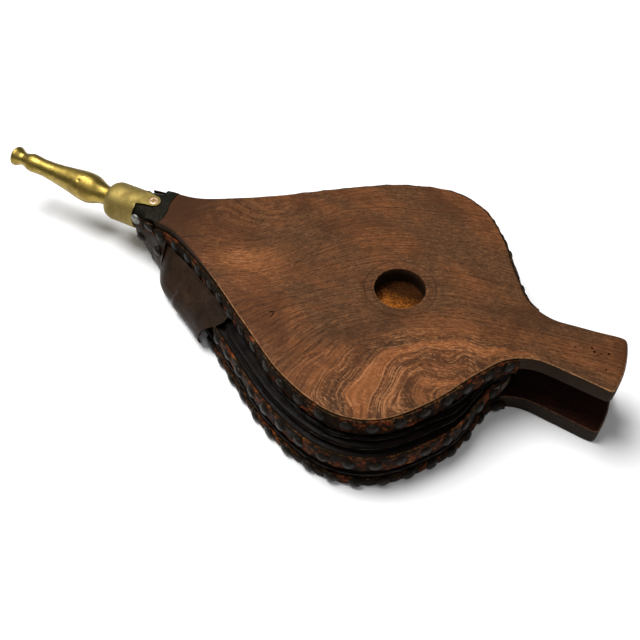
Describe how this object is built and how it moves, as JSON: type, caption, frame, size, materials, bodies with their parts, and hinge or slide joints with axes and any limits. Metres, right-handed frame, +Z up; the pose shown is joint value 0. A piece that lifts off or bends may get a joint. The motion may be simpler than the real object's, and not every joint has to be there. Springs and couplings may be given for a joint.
{
  "type": "hand bellows",
  "caption": "Hand bellows: two shaped wooden boards with handles, pleated nailed leather between them, a flap valve and a brass nozzle.",
  "frame": {"origin": "under the middle of the whole object, on the surface that the bottom board lies on", "axes": "+X from the nozzle to the handles, +Z up through both boards, Y across the boards"},
  "size_m": [0.4506, 0.2302, 0.0558],
  "materials": {
    "top_wood": "waxed ash, dark red-brown, straight grain",
    "side_wood": "waxed ash, almost black-brown",
    "hoop_wood": "plain split wood",
    "black_leather": "black, satin",
    "brown_leather": "dark brown, satin",
    "trim_leather": "worn red and ochre leather under dark nail heads",
    "suede": "rough suede",
    "brass": "satin, aged",
    "dark_nail": "dark patina"
  },
  "bodies": {
    "bottom_board": {"bottom_board": "side_wood", "nose_block": "side_wood", "nose_wrap": "black_leather", "ferrule": "brass", "ferrule_screw": "brass", "nozzle": "brass", "lower_leather": "black_leather", "bottom_trim_left": "trim_leather", "bottom_trim_right": "trim_leather", "nose_trim_left": "trim_leather", "nose_trim_right": "trim_leather", "gusset_patch_left": "brown_leather", "gusset_patch_right": "brown_leather", "patch_nail_left": "dark_nail", "patch_nail_right": "dark_nail", "nose_nail_left": "dark_nail", "nose_nail_right": "dark_nail", "rim_nail_left": "dark_nail", "rim_nail_right": "dark_nail"},
    "middle_hoop": {"middle_hoop": "hoop_wood", "upper_leather": "black_leather", "middle_trim_left": "trim_leather", "middle_trim_right": "trim_leather"},
    "top_board": {"top_board": "top_wood", "valve_flap_tab": "suede", "valve_strap": "brown_leather", "top_trim_left": "trim_leather", "top_trim_right": "trim_leather", "tab_tack_left": "dark_nail", "tab_tack_right": "dark_nail", "strap_tack_left": "dark_nail", "strap_tack_right": "dark_nail"},
    "valve_flap": {"valve_flap": "suede", "valve_disc": "hoop_wood"}
  },
  "joints": [
    {"name": "hoop_hinge", "type": "hinge", "parent": "bottom_board", "child": "middle_hoop", "pos_m": [-0.09358, 0, 0.0475], "axis": [0, -1, 0], "range_deg": [0, 8], "deforming": ["lower_leather", "gusset_patch_left", "gusset_patch_right"]},
    {"name": "top_board_hinge", "type": "hinge", "parent": "middle_hoop", "child": "top_board", "pos_m": [-0.09358, 0, 0.0475], "axis": [0, -1, 0], "range_deg": [0, 12], "deforming": ["upper_leather"]},
    {"name": "valve_flap_hinge", "type": "hinge", "parent": "top_board", "child": "valve_flap", "pos_m": [0.05968, 0, 0.03971], "axis": [0, 1, 0], "range_deg": [0, 20]}
  ],
  "couplings": [
    {"joint": "hoop_hinge", "follows": "top_board_hinge", "ratio": 0.66667}
  ]
}
